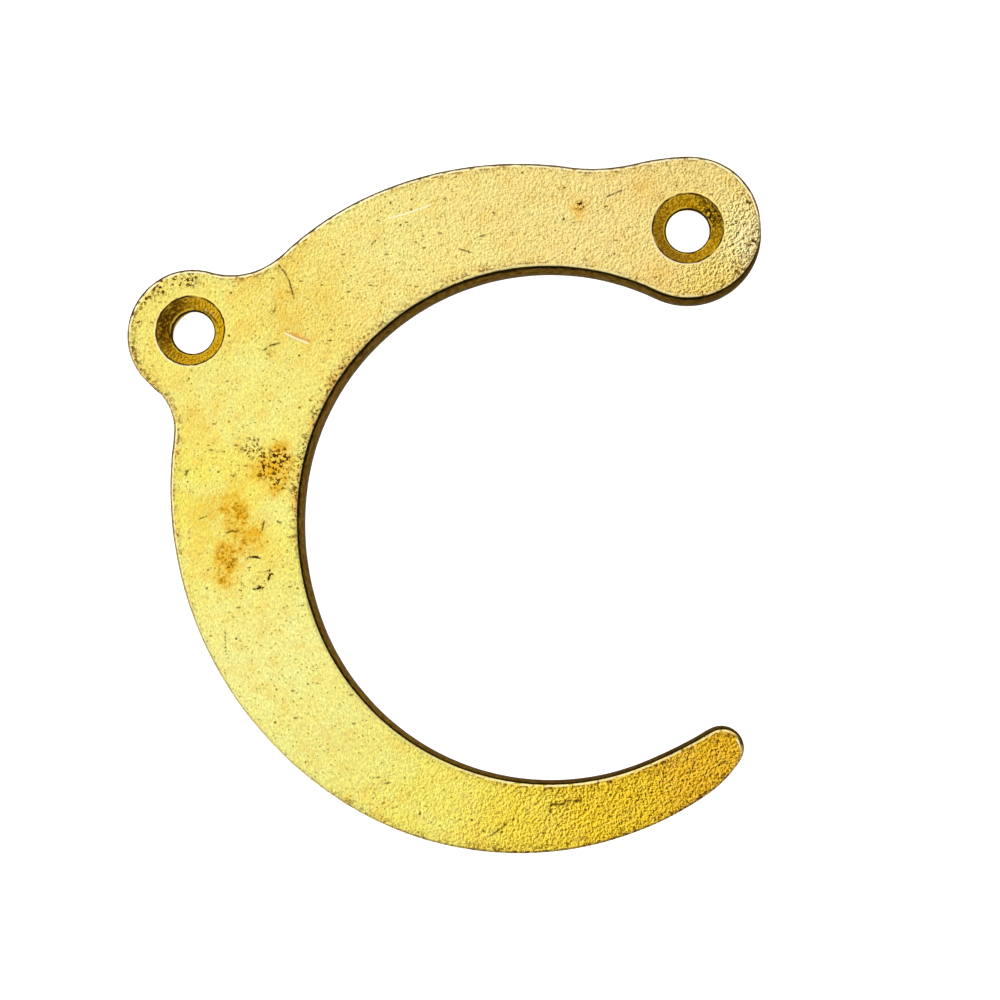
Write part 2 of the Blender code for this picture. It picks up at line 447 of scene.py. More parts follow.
class PlateShape:
    """What the looks need to know of the CAD plate, read from its mesh."""

    SECTION_LOW = 0.4
    SECTION_HIGH = 1.6
    CONE_SECTION = 2.5
    STRAIGHT_TURN = math.radians(1.0)
    SAME_POINT = 0.01
    FINE_STEP = 0.02

    def __init__(self, plate: bpy.types.Object) -> None:
        """Measure the plate.

        Args:
            plate: The CAD node.
        """
        mesh = plate.data
        mesh.calc_loop_triangles()
        self.corners = np.array([v.co for v in mesh.vertices]) / MM
        self.triangles = np.array([t.vertices for t in mesh.loop_triangles])
        self.top = float(self.corners[:, 2].max())
        self.bottom = float(self.corners[:, 2].min())
        high, low = self._section(self.SECTION_HIGH), self._section(self.SECTION_LOW)
        wide = max(low, key=way_round)
        self.edge = max(high, key=way_round)
        spread = (area_inside(wide) - area_inside(self.edge)) / way_round(self.edge)
        self.draft = spread / (self.SECTION_HIGH - self.SECTION_LOW)
        self.holes = [self._hole(loop, low) for loop in high if loop is not self.edge]
        self.holes.sort(key=lambda hole: hole.centre[0])

    def _section(self, height: float) -> list[np.ndarray]:
        """The loops in which a level plane cuts the plate.

        Args:
            height: The level of the plane.

        Returns:
            One array of points per loop.
        """
        _, welded = np.unique(np.round(self.corners, 4), axis=0, return_inverse=True)
        welded = welded.reshape(-1)
        places: dict[tuple[int, int], np.ndarray] = {}
        neighbours: dict[tuple[int, int], list[tuple[int, int]]] = {}
        above = self.corners[:, 2] > height
        for triangle in self.triangles:
            cut = []
            for first, second in zip(triangle, np.roll(triangle, -1)):
                if above[first] == above[second]:
                    continue
                key = tuple(sorted((int(welded[first]), int(welded[second]))))
                start, end = self.corners[first], self.corners[second]
                share = (height - start[2]) / (end[2] - start[2])
                places[key] = (start + share * (end - start))[:2]
                cut.append(key)
            if len(cut) == 2 and cut[0] != cut[1]:
                neighbours.setdefault(cut[0], []).append(cut[1])
                neighbours.setdefault(cut[1], []).append(cut[0])
        loops = []
        left = dict.fromkeys(places)
        while left:
            key = next(iter(left))
            chain = []
            while key is not None:
                left.pop(key)
                chain.append(places[key])
                key = next((n for n in neighbours[key] if n in left), None)
            loops.append(self._tidy(np.array(chain)))
        return loops

    def _tidy(self, loop: np.ndarray) -> np.ndarray:
        """Anticlockwise, without points that lie on a straight stretch.

        Args:
            loop: The points in order.

        Returns:
            The corners of the loop.
        """
        if area_inside(loop) < 0:
            loop = loop[::-1]
        loop = loop[np.linalg.norm(loop - np.roll(loop, 1, axis=0), axis=1) > self.SAME_POINT]
        before, after = loop - np.roll(loop, 1, axis=0), onward(loop) - loop
        cross = before[:, 0] * after[:, 1] - before[:, 1] * after[:, 0]
        turn = np.arctan2(cross, (before * after).sum(axis=1))
        return loop[np.abs(turn) > self.STRAIGHT_TURN]

    def _hole(self, loop: np.ndarray, low: list[np.ndarray]) -> Hole:
        """Measure one screw hole from the loops in which it is cut.

        Args:
            loop: The bore's upper loop.
            low: All loops near the back face.

        Returns:
            The hole.
        """
        centre = (loop.max(axis=0) + loop.min(axis=0)) / 2
        upper, lower, cone = (
            min(float(np.linalg.norm(ring - centre, axis=1).mean()) for ring in rings)
            for rings in ([loop], low, self._section(self.CONE_SECTION))
        )
        near = self.corners[np.linalg.norm(self.corners[:, :2] - centre, axis=1) < upper + 0.05]
        foot = float(near[near[:, 2] > self.SECTION_HIGH][:, 2].min())
        opening = (lower - upper) / (self.SECTION_HIGH - self.SECTION_LOW)
        bore = upper - opening * (foot - self.SECTION_HIGH)
        back = bore + opening * (foot - self.bottom)
        slope = (cone - bore) / (self.CONE_SECTION - foot)
        return Hole(centre, bore, back, bore + slope * (self.top - foot), foot)

    def smooth_edge(self, spacing: float) -> Loop:
        """The mid-height edge as a smooth curve.

        Args:
            spacing: The distance between its points.

        Returns:
            The edge.
        """
        points = self.edge
        after = onward(points) - points
        chord = np.linalg.norm(after, axis=1)
        heading = np.unwrap(np.arctan2(after[:, 1], after[:, 0]))
        turn = (heading - np.roll(heading, 1) + math.pi) % (2 * math.pi) - math.pi
        before_chord = np.roll(chord, 1)
        tangent = pointing(np.roll(heading, 1) + turn * before_chord / (before_chord + chord))
        fine = []
        for index, length in enumerate(chord):
            following = (index + 1) % len(points)
            steps = max(2, math.ceil(length / self.FINE_STEP))
            share = (np.arange(steps) / steps)[:, None]
            square, cube = share**2, share**3
            fine.append(
                (2 * cube - 3 * square + 1) * points[index]
                + (cube - 2 * square + share) * length * tangent[index]
                + (3 * square - 2 * cube) * points[following]
                + (cube - square) * length * tangent[following]
            )
        curve = np.concatenate(fine)
        closed = np.vstack([curve, curve[:1]])
        travel = np.concatenate([[0.0], np.cumsum(np.linalg.norm(np.diff(closed, axis=0), axis=1))])
        count = round(travel[-1] / spacing)
        wanted = np.arange(count) * travel[-1] / count
        even = np.stack([np.interp(wanted, travel, closed[:, axis]) for axis in (0, 1)], axis=1)
        ahead = onward(even) - np.roll(even, 1, axis=0)
        ahead /= np.linalg.norm(ahead, axis=1)[:, None]
        return Loop(even, np.stack([ahead[:, 1], -ahead[:, 0]], axis=1))


# --- Marks in the metal ---


class Mark(Enum):
    """What a mark in the plate's face has left behind."""

    SCRATCH = "scratch"
    # a bright line: partly fresh metal, partly a painted highlight along a scratch
    BRIGHT = "bright"
    COPPER = "copper"
    DOTTED = "dotted"


@dataclass(frozen=True)
class Line:
    """A scratch: a few points in order, joined by straight lines."""

    route: tuple[Point, ...]
    width: float = 0.06
    depth: float = 0.03
    kind: Mark = Mark.SCRATCH

    def samples(self) -> np.ndarray:
        """Points close together along the line.

        Returns:
            One row per point.
        """
        points = np.array(self.route)
        pieces = []
        for start, end in zip(points[:-1], points[1:]):
            count = max(2, math.ceil(np.linalg.norm(end - start) / 0.04))
            share = np.linspace(0.0, 1.0, count)[:, None]
            pieces.append(start + share * (end - start))
        return np.concatenate(pieces)


@dataclass(frozen=True)
class Spot:
    """A round patch that fades out from its middle."""

    centre: Point
    reach: float
    strength: float = 1.0
    squeeze: float = 1.0

    def weight(self, places: np.ndarray) -> np.ndarray:
        """How strong the patch is at some places."""
        away = (places[:, :2] - np.array(self.centre)) * np.array([1.0, self.squeeze])
        return self.strength * np.exp(-(away**2).sum(axis=1) / self.reach**2)


def spots(*rows: tuple[float, ...]) -> tuple[Spot, ...]:
    """Patches from rows of X, Y, reach, strength and, where one isn't round, squeeze."""
    return tuple(Spot((x, y), *rest) for x, y, *rest in rows)


def covered(places: np.ndarray, patches: Sequence[Spot]) -> np.ndarray:
    """How strongly some patches together cover each place.

    Args:
        places: One row per place.
        patches: The patches.

    Returns:
        A value from 0 to 1 per place.
    """
    clear = np.ones(len(places))
    for patch in patches:
        clear *= 1 - np.clip(patch.weight(places), 0, 1)
    return 1 - clear


@dataclass(frozen=True)
class ToneAndReflectionZone:
    """A stretch of the plate with its own shade of brass and its own grain; its colour is partly
    the brass's tone and partly a painted reflection.
    """

    centre: Point
    reach: float
    screen: tuple[int, int, int]
    coarse: float


@dataclass(frozen=True)
class SeatShadingAndSpecks:
    """A countersink's painted shade, dark specks and painted rim highlight, by the direction from
    its middle in degrees.
    """

    # The painted shade's direction, strength and least value come first; the rim_lit fields set the
    # painted rim highlight.
    shade_at: float
    dark: float
    base: float
    speckled_at: float
    speckled_width: float
    spread: float = 1.5
    rim_lit_at: float = -125.0
    rim_lit_width: float = 65.0
    rim_least: float = 0.25
    margin: float = 0.5

    def shade(self, places: np.ndarray, hole: Hole, shades: dict[str, np.ndarray]) -> None:
        """Fill in the look of one countersink.

        Args:
            places: All vertices.
            hole: The hole.
            shades: Its painted shade, dark specks and painted rim highlight per vertex, changed in
                place.
        """
        away = places[:, :2] - hole.centre
        near = np.linalg.norm(away, axis=1) < hole.rim_radius + self.margin
        angle = bearing(away[near])
        # painted shade: the countersink darker towards one side, as if light fell from the other
        facing = np.clip(0.5 + 0.5 * np.cos(np.radians(angle - self.shade_at)), 0, 1)
        # painted highlight on the rim, strongest in one direction
        lit = bell(apart(angle, self.rim_lit_at), self.rim_lit_width)
        shades["seat_shade"][near] = self.base + self.dark * facing**self.spread
        shades["speckled"][near] = bell(apart(angle, self.speckled_at), self.speckled_width)
        shades["rim_lit"][near] = self.rim_least + (1 - self.rim_least) * lit


@dataclass
class Wear:
    """Everything that time has done to the plate's face, in the plate's millimetres, with the
    painted reflection in its zone tones and the painted shade and highlights of its countersinks.
    """

    # Paler zones, as on the lower left arm, carry a painted reflection as well as the brass's tone;
    # towards the tip they are darker and more amber.
    zones: tuple[ToneAndReflectionZone, ...] = (
        ToneAndReflectionZone((-19.9, 13.7), 5.0, (238, 223, 114), 0.22),
        ToneAndReflectionZone((-12.0, 17.0), 4.5, (237, 213, 102), 0.32),
        ToneAndReflectionZone((-4.0, 21.5), 6.0, (243, 226, 136), 0.34),
        ToneAndReflectionZone((4.0, 24.0), 5.0, (244, 221, 136), 0.42),
        ToneAndReflectionZone((12.0, 22.0), 4.5, (247, 223, 144), 0.44),
        ToneAndReflectionZone((19.4, 21.3), 5.5, (244, 217, 134), 0.52),
        ToneAndReflectionZone((24.3, 20.0), 2.6, (255, 238, 168), 1.55),
        ToneAndReflectionZone((21.5, 16.5), 2.4, (243, 207, 92), 1.00),
        ToneAndReflectionZone((-14.0, 8.0), 4.5, (238, 226, 124), 0.15),
        ToneAndReflectionZone((-15.0, 0.0), 4.5, (239, 224, 96), 0.20),
        ToneAndReflectionZone((-12.2, -0.5), 2.2, (242, 236, 138), 0.10),
        ToneAndReflectionZone((-15.5, -5.5), 4.0, (238, 222, 106), 0.18),
        ToneAndReflectionZone((-14.5, -10.5), 5.0, (240, 232, 142), 0.08),
        ToneAndReflectionZone((-8.0, -17.0), 5.0, (238, 229, 130), 0.12),
        ToneAndReflectionZone((-1.0, -22.5), 4.5, (242, 229, 104), 0.38),
        ToneAndReflectionZone((6.0, -24.5), 3.6, (241, 214, 62), 0.65),
        ToneAndReflectionZone((13.0, -23.3), 4.0, (242, 201, 30), 0.92),
        ToneAndReflectionZone((20.0, -19.5), 4.0, (233, 182, 24), 1.00),
    )
    stains: tuple[Spot, ...] = spots(
        (-12.6, 2.9, 1.3, 0.80), (-12.9, 1.3, 1.2, 0.60), (-14.4, 2.7, 1.1, 0.55),
        (-12.6, 4.3, 0.8, 0.55), (-15.96, -1.0, 1.3, 0.75), (-14.6, -2.2, 1.0, 0.45),
        (-17.4, -0.3, 1.3, 0.40), (-16.6, 1.0, 1.2, 0.35), (-16.9, -4.4, 1.0, 0.9, 0.8),
        (-16.9, -6.0, 0.8, 0.75), (-15.8, -3.4, 1.0, 0.45), (-14.4, -3.2, 1.5, 0.35),
        (-18.9, -2.0, 1.2, 0.30, 0.6), (-12.4, 16.2, 1.5, 0.35), (-12.2, 13.9, 1.0, 0.35),
        (-10.6, 12.9, 1.0, 0.30), (-9.0, 16.4, 1.6, 0.22), (-20.0, 5.5, 2.2, 0.25),
        (10.9, 22.9, 1.0, 0.45), (16.3, 24.4, 1.5, 0.30), (16.8, 17.4, 1.4, 0.30),
        (-22.6, 9.6, 1.6, 0.25), (-17.5, 7.5, 2.0, 0.22),
    )
    pocks: tuple[Spot, ...] = spots(
        (-12.6, 3.4, 1.0, 1.0), (-12.6, 1.8, 1.0, 0.8), (-13.9, 2.4, 0.7, 0.7),
        (-14.9, 4.3, 0.9, 1.0), (-14.2, 3.6, 0.6, 0.7), (-16.3, 2.2, 0.6, 0.45),
        (-13.3, -5.6, 0.5, 0.8), (-14.0, -6.6, 0.4, 0.7), (-16.5, -4.6, 0.6, 0.45, 0.5),
        (-20.3, 18.1, 1.2, 1.0), (-22.3, 17.3, 0.9, 0.9), (-23.6, 16.4, 0.7, 0.8),
        (-13.6, 11.9, 0.6, 0.6), (10.98, 23.23, 0.5, 0.9), (-24.2, 14.4, 0.4, 1.0),
        (-24.1, 15.4, 0.3, 0.9), (-13.3, 15.0, 0.8, 0.55), (19.5, 15.6, 0.9, 0.5),
        (24.3, 23.0, 0.8, 0.6), (24.7, 20.4, 0.9, 0.8), (24.0, 18.0, 1.3, 0.85),
        (21.9, 16.3, 1.1, 0.6),
    )
    edge_spots: tuple[Spot, ...] = spots(
        (-24.5, 13.5, 5.0, 1.0), (-22.0, 5.0, 6.0, 0.8), (-21.0, -4.0, 6.0, 0.5),
        (-15.0, 19.0, 6.0, 0.7), (0.0, 26.0, 7.0, 0.6), (14.0, 26.0, 7.0, 0.7),
        (24.0, 21.0, 6.0, 0.35), (-6.0, -25.0, 6.0, 0.5), (8.0, -27.0, 8.0, 0.8),
        (20.0, -21.0, 7.0, 1.0), (-11.0, 2.0, 5.0, 0.8), (-8.0, 10.0, 6.0, 0.9),
        (2.0, 17.0, 6.0, 0.6),
    )
    lines: tuple[Line, ...] = (
        Line(((-12.23, 13.56), (-11.3, 13.1), (-10.39, 12.74)), 0.12, 0.05, Mark.COPPER),
        # a painted highlight along the gouge's lower side
        Line(((-12.3, 13.38), (-11.35, 12.92), (-10.45, 12.56)), 0.06, 0.02, Mark.BRIGHT),
        Line(((-12.84, 18.85), (-12.35, 18.2), (-12.03, 17.63), (-11.62, 16.18))),
        Line(((-13.97, 12.06), (-13.4, 12.45), (-12.70, 12.61))),
        Line(((13.02, 23.83), (14.27, 24.36)), depth=0.02),
        Line(((-19.05, 15.42), (-18.6, 15.2), (-18.2, 14.8), (-17.95, 14.45)), 0.07, 0.0),
        Line(((-18.9, 15.50), (-18.5, 15.28), (-18.12, 14.90)), 0.025, 0.0, Mark.BRIGHT),
        Line(((-4.01, 22.47), (-2.4, 22.9), (-0.84, 23.45)), 0.06, 0.015, Mark.BRIGHT),
        Line(
            ((8.52, -23.83), (8.56, -23.3), (9.6, -23.22), (9.7, -23.0), (10.88, -22.99)),
            0.085, 0.035,
        ),
        Line(((10.88, -22.85), (10.85, -23.15)), 0.085, 0.035),
        Line(((4.00, -25.67), (4.9, -25.0), (5.35, -24.6), (5.76, -24.35))),
        Line(((-16.8, -10.11), (-16.75, -11.1), (-16.61, -12.13)), 0.06, 0.02, Mark.DOTTED),
        Line(((-20.5, 2.6), (-20.2, 2.65), (-20.0, 2.4), (-20.15, 2.2)), 0.05, 0.02),
        Line(((-16.7, -2.35), (-16.34, -2.2), (-16.0, -2.3)), depth=0.02),
        Line(((-13.82, -1.53), (-13.97, -2.16)), depth=0.02),
        Line(((-11.91, -2.72), (-11.19, -2.72))),
        Line(((-18.2, 4.2), (-17.6, 4.05), (-17.0, 4.05)), 0.05, 0.015),
        Line(((1.5, 19.9), (2.4, 19.6)), 0.05, 0.015),
        Line(((-5.6, 20.3), (-4.9, 20.9)), 0.05, 0.015),
        Line(((-18.9, -1.25), (-18.2, -0.95)), 0.05, 0.015),
    )
    # Each countersink's painted shade, dark specks and painted rim highlight.
    seats: tuple[SeatShadingAndSpecks, SeatShadingAndSpecks] = (
        SeatShadingAndSpecks(165.0, 0.80, 0.08, 155.0, 50.0),
        SeatShadingAndSpecks(215.0, 0.92, 0.02, 32.0, 46.0, 0.80),
    )
    ring_centre: Point = (-14.56, -5.52)
    ring_radius: float = 1.25
    ring_width: float = 0.10
    ring_depth: float = 0.03
    ring_least: float = 0.22
    ring_arcs: tuple[tuple[float, float, float], ...] = (
        (92.0, 27.0, 1.0), (-8.0, 22.0, 0.95), (-78.0, 18.0, 0.85), (-135.0, 28.0, 0.45)
    )
    mark_grid: float = 0.035
    pit_count: int = 520
    pit_seed: int = 7

    def close_points(self) -> np.ndarray:
        """Points close together along every scratch and along the struck ring.

        Returns:
            One row per point.
        """
        made = []
        for line in self.lines:
            samples = line.samples()[::2]
            ahead = samples[-1] - samples[0]
            aside = np.array([-ahead[1], ahead[0]]) / np.linalg.norm(ahead)
            made += [samples + aside * shift for shift in (-0.10, -0.05, 0.0, 0.05, 0.10)]
        around = pointing(np.arange(0, 2 * math.pi, 0.06))
        for shift in (-0.12, -0.06, 0.0, 0.06, 0.12):
            made.append(np.array(self.ring_centre) + around * (self.ring_radius + shift))
        points = np.concatenate(made)
        order = np.round(points / self.mark_grid).astype(int)
        _, first = np.unique(order, axis=0, return_index=True)
        return points[np.sort(first)]

    def tone(self, places: np.ndarray) -> tuple[np.ndarray, np.ndarray]:
        """The shade of brass and how coarse its grain is.

        Args:
            places: One row per place.

        Returns:
            A colour per place, and a coarseness per place.
        """
        total = np.full(len(places), 1e-9)
        colour = np.zeros((len(places), 3))
        coarse = np.zeros(len(places))
        for zone in self.zones:
            weight = Spot(zone.centre, zone.reach).weight(places) + 1e-12
            total += weight
            colour += weight[:, None] * np.array(from_screen(*zone.screen))
            coarse += weight * zone.coarse
        return colour / total[:, None], coarse / total

    def line_mask(self, places: np.ndarray, *kinds: Mark) -> tuple[np.ndarray, np.ndarray]:
        """Where scratches lie.

        Args:
            places: One row per place.
            kinds: The kinds of mark that are wanted.

        Returns:
            A mask from 0 to 1 and a depth, per place.
        """
        mask, depth = np.zeros(len(places)), np.zeros(len(places))
        for line in self.lines:
            if line.kind not in kinds:
                continue
            points = line.samples()
            middle = points.mean(axis=0)
            reach = np.linalg.norm(points - middle, axis=1).max() + 4 * line.width
            near = np.nonzero(np.linalg.norm(places[:, :2] - middle, axis=1) < reach)[0]
            if not len(near):
                continue
            gap = np.linalg.norm(places[near, None, :2] - points[None], axis=2)
            share = bell(gap.min(axis=1), line.width)
            if line.kind is Mark.DOTTED:
                share *= 0.5 + 0.5 * np.sin(gap.argmin(axis=1) * 0.9)
            mask[near] = np.maximum(mask[near], share)
            depth[near] = np.maximum(depth[near], share * line.depth)
        return mask, depth

    def ring(self, places: np.ndarray) -> np.ndarray:
        """The mask of the small ring struck into the face.

        Args:
            places: One row per place.

        Returns:
            A mask from 0 to 1 per place.
        """
        away = places[:, :2] - np.array(self.ring_centre)
        gap = np.abs(np.linalg.norm(away, axis=1) - self.ring_radius)
        strength = np.full(len(places), self.ring_least)
        for middle, width, dark in self.ring_arcs:
            arc = np.exp(-((apart(bearing(away), middle) / width) ** 4))
            strength = np.maximum(strength, dark * arc)
        return bell(gap, self.ring_width) * strength

    def pits(self, places: np.ndarray) -> np.ndarray:
        """How deep the casting's small pits go at some places.

        Args:
            places: One row per place.

        Returns:
            A depth per place.
        """
        dice = np.random.default_rng(self.pit_seed)
        lowest, highest = places[:, :2].min(axis=0), places[:, :2].max(axis=0)
        tree = flat_tree(places)
        depth = np.zeros(len(places))
        made = 0
        while made < self.pit_count:
            centre = lowest + dice.random(2) * (highest - lowest)
            radius = 0.14 + 0.22 * dice.random() ** 3
            deep = 0.012 + 0.04 * dice.random() ** 2
            wanted = dice.random()
            _, nearest, gap = tree.find((centre[0], centre[1], 0.0))
            if gap > 0.5:
                continue
            if wanted > 0.25 + self.tone(places[nearest : nearest + 1])[1][0]:
                continue
            made += 1
            for _, index, away in tree.find_range((centre[0], centre[1], 0.0), radius * 1.8):
                depth[index] = max(depth[index], deep * math.exp(-((away / radius) ** 2) * 1.6))
        return depth


# --- Finishes ---


class Finish:
    """A named material with one Principled shader."""

    name: str

    def sockets(self, graph: ShaderGraph) -> dict[str, object]:
        """What goes into the shader's sockets."""
        raise NotImplementedError

    def material(self) -> bpy.types.Material:
        """Build the material.

        Returns:
            The material.
        """
        made = bpy.data.materials.new(self.name)
        made.use_nodes = True
        graph = ShaderGraph(made.node_tree)
        surface = graph.raw("ShaderNodeBsdfPrincipled", {}, self.sockets(graph))
        graph.end("ShaderNodeOutputMaterial", surface)
        return made


@dataclass(frozen=True)
class CastBrass(Finish):
    """Old cast brass: bright where it was rubbed, tarnished and stained, with painted highlights
    and painted shade on its grain, edges and countersinks, and painted shade on its sides.
    """

    holes: tuple[Hole, ...]
    name: str = "old_cast_brass"
    # The sides' colours: tarnish together with painted shade; the grey is a painted shadow towards
    # their foot, and the black also marks pits in the countersinks.
    tarnish_and_shade: Colour = from_screen(124, 94, 34)
    foot_shadow_grey: Colour = from_screen(92, 80, 60)
    tarnish_and_shade_deep: Colour = from_screen(86, 60, 16)
    shade_and_pit_black: Colour = from_screen(16, 10, 2)
    amber: Colour = from_screen(224, 170, 24)
    stain_dark: Colour = from_screen(116, 70, 8)
    olive: Colour = from_screen(138, 124, 36)
    brown: Colour = from_screen(104, 68, 10)
    warm: Colour = from_screen(238, 194, 84)
    copper: Colour = from_screen(216, 138, 62)
    # near white: painted glints on the grain, and bright scratch lines that are partly fresh metal,
    # partly a painted highlight
    bright: Colour = from_screen(255, 250, 214)
    golden: Colour = from_screen(255, 200, 2)
    # painted shade on one side of the countersinks
    golden_shaded: Colour = from_screen(154, 112, 26)
    # painted shade on the countersinks' grain
    seat_grain_shade: Colour = from_screen(140, 84, 0)
    rim_light: Colour = from_screen(255, 244, 196)
    # painted highlight on the rims, the bores' lips and the countersinks' grain
    gold_highlight: Colour = from_screen(255, 222, 70)
    # painted highlight on the grain and along the front edge
    cream_highlight: Colour = from_screen(255, 240, 170)
    # painted shadow line along the outer edge
    edge_shadow_grey: Colour = from_screen(72, 54, 46)
    # painted shade inside the bores
    bore_shade: Colour = from_screen(52, 44, 30)
    rim_brown: Colour = from_screen(74, 44, 2)
    # dark pocks, scratches and the struck ring, and painted shade in the grain's hollows
    pock_and_shade_brown: Colour = from_screen(62, 34, 2)
    pock_gold: Colour = from_screen(190, 134, 30)
    # painted shade on the grain's slopes and just behind the edge's painted highlight
    grain_shade_brown: Colour = from_screen(122, 70, 2)
    lime: Colour = from_screen(236, 240, 156)
    glint: float = 1.28
    shade: float = 0.55
    tint: Colour = (1.0, 0.80, 0.36)
    roughness: float = 0.42
    dark: float = 0.92

    def _face(self, graph: ShaderGraph, place: Socket) -> tuple[Socket, Socket]:
        """The rubbed face, with painted highlights, glints and shade on its grain.

        Args:
            graph: The material's graph.
            place: The place in millimetres.

        Returns:
            The face's colour and the height of its grain.
        """
        coarse = graph.attribute("coarse")
        tone = graph.attribute("tone", "Color")
        grain = graph.noise(graph.stretched(place, (1.0, 0.6, 1.0), 12.0), 0.15, 2.0, 0.6)
        broad, ragged, crumbs = (graph.noise(place, *size) for size in (BROAD, RAGGED, CRUMBS))
        cloud = graph.noise(place, 4.0, 2.0, 0.5)
        fresh = graph.noise(place, 2.4, 4.0, 0.7).step(0.48, 0.62) * (1.0 - coarse).clamp()
        colour = graph.painted(
            graph.scaled(tone, self.dark * (0.93 + 0.10 * cloud + 0.06 * broad)),
            (broad.step(0.48, 0.68) * (0.15 + 0.5 * cloud), dimmed(self.warm, self.dark)),
            (fresh * 0.40, dimmed(self.lime, self.dark)),
        )
        colour = graph.scaled(colour, 1.0 + (grain - MIDDLE) * (1.15 + 0.4 * coarse))

        # Painted light on the grain: slopes that face the light are painted lighter, the others
        # painted shade.
        lean = graph.slopes(graph.stretched(place, (1.0, 0.9, 1.0), -8.0), 0.18, 0.08)
        gritty = (coarse - 0.08).clamp() * 1.5
        shaded = graph.mix(0.6, graph.scaled(tone, self.shade), self.grain_shade_brown)
        lit = graph.mix(0.14, graph.scaled(tone, self.glint), self.cream_highlight)
        # painted shade in the coarse hollows, and painted glints on slopes that face the light
        shaded_hollows = crumbs.step(0.55, 0.61) * lean.step(0.03, -0.05) * (coarse - 0.50).clamp() * 2.2
        grain_glints = lean.step(0.05, 0.12) * (coarse - 1.02).clamp() * 5.0

        fine = graph.dots(place, 0.30, 0.085, 0.30 + 0.60 * broad)
        slanted = graph.stretched(place, (0.45, 1.0, 1.0), 25.0)
        dashes = graph.dots(slanted, 0.50, 0.10, 0.20 + 0.45 * cloud)
        large = graph.dots(place, 0.80, 0.12, 0.42 + 0.30 * coarse)
        flecked = graph.noise(place, 0.9, 4.0, 0.7)
        uneven = 1.0 + (flecked - MIDDLE) * 3.4 + (crumbs - MIDDLE) * 2.0
        stain = graph.attribute("stain") * uneven
        pocked = graph.attribute("pocked") + ragged - MIDDLE
        pocks = pocked.step(0.30, 0.70) * crumbs.step(0.52, 0.58)
        near = graph.attribute("edge_near") * (0.40 + 0.60 * graph.attribute("edge_worn"))
        smooth = (1.0 - coarse * 1.3).clamp()
        reddened = (near - 0.45).clamp() * 1.4 * broad.step(0.35, 0.6) * smooth
        pitted = (near - 0.30).clamp() * crumbs.step(0.52, 0.59) * 2.2
        copper = graph.attribute("copper") * crumbs.step(0.36, 0.52)
        ring = graph.attribute("ring").step(0.15, 0.60) * crumbs.step(0.36, 0.48)
        colour = graph.painted(
            colour,
            # painted shade and painted highlight on the grain, painted shade in its hollows,
            # painted glints
            ((lean.step(-0.025, -0.12) * gritty).clamp(), shaded),
            ((lean.step(0.02, 0.11) * gritty).clamp(), lit),
            (shaded_hollows.clamp(), self.pock_and_shade_brown),
            (grain_glints.clamp(), self.bright),
            (fine * 0.78, self.olive),
            (dashes * 0.70, self.brown),
            (large * 0.85, self.brown),
            (stain.step(0.0, 0.92) * 0.94, self.amber),
            (stain.step(0.45, 0.95) * crumbs.step(0.50, 0.60) * 0.55, self.stain_dark),
            (pocked.step(0.30, 0.80) * crumbs.step(0.46, 0.53) * 0.55, self.pock_gold),
            (pocks, self.pock_and_shade_brown),
            (reddened, self.copper),
            (pitted.clamp(), self.brown),
            (copper * 0.9, self.copper),
            (ring, self.pock_and_shade_brown),
        )
        scratch = graph.attribute("scratch") * ragged.step(0.36, 0.50)
        height = grain * (0.4 + 1.1 * coarse) + ragged * 0.3 - fine * 0.6 - large - pocks - scratch
        return colour, height

    def _rims(self, graph: ShaderGraph, place: Socket, colour: Socket) -> Socket:
        """Draw a painted highlight around each countersink's rim, an uneven dark line inside it, a
        painted highlight on each bore's lip and painted shade down each bore.

        Args:
            graph: The material's graph.
            place: The place in millimetres.
            colour: The colour so far.

        Returns:
            The new colour.
        """
        wobble = (graph.noise(place, 0.5, 2.0, 0.6) - MIDDLE) * 0.16
        uneven = graph.noise(place, 1.6, 3.0, 0.65)
        lit = graph.attribute("rim_lit")
        flat = graph.vector("MULTIPLY", place, (1.0, 1.0, 0.0))
        for hole in self.holes:
            away = graph.vector("DISTANCE", flat, (*map(float, hole.centre), 0.0), 1) + wobble
            rim, bore = hole.rim_radius, hole.bore_radius
            # halo: painted highlight on the rim's rounding, cream on the lit side and gold
            # elsewhere
            halo = away.step(rim - 0.02, rim + 0.05) * away.step(rim + 0.20, rim + 0.07)
            line = away.step(rim - 0.15, rim - 0.07) * away.step(rim + 0.06, rim)
            # lip: painted highlight on the bore's lip; foot: painted shade inside the bore
            lip = away.step(bore + 0.29, bore + 0.19) * away.step(bore + 0.10, bore + 0.15)
            foot = away.step(bore + 0.18, bore + 0.12) * away.step(bore - 0.9, bore - 0.8)
            colour = graph.painted(
                colour,
                (halo * (1.0 - lit) * uneven.step(0.30, 0.50), self.gold_highlight),
                (halo * lit * uneven.step(0.25, 0.45), self.rim_light),
                (line * uneven.step(0.74, 0.46), self.rim_brown),
                (lip * uneven.step(0.35, 0.55) * 0.8, self.gold_highlight),
                (foot, self.bore_shade),
            )
        return colour

    def _edges(self, graph: ShaderGraph, place: Socket, colour: Socket) -> Socket:
        """Draw a painted highlight along the front edge's rounding, a painted dark line just behind
        it, and a painted shadow line along the outer edge.

        Args:
            graph: The material's graph.
            place: The place in millimetres.
            colour: The colour so far.

        Returns:
            The new colour.
        """
        uneven = graph.noise(place, 0.7, 3.0, 0.65)
        gap = graph.attribute("edge_gap") + (uneven - MIDDLE) * 0.20
        lit, dark = graph.attribute("edge_lit"), graph.attribute("edge_shade")
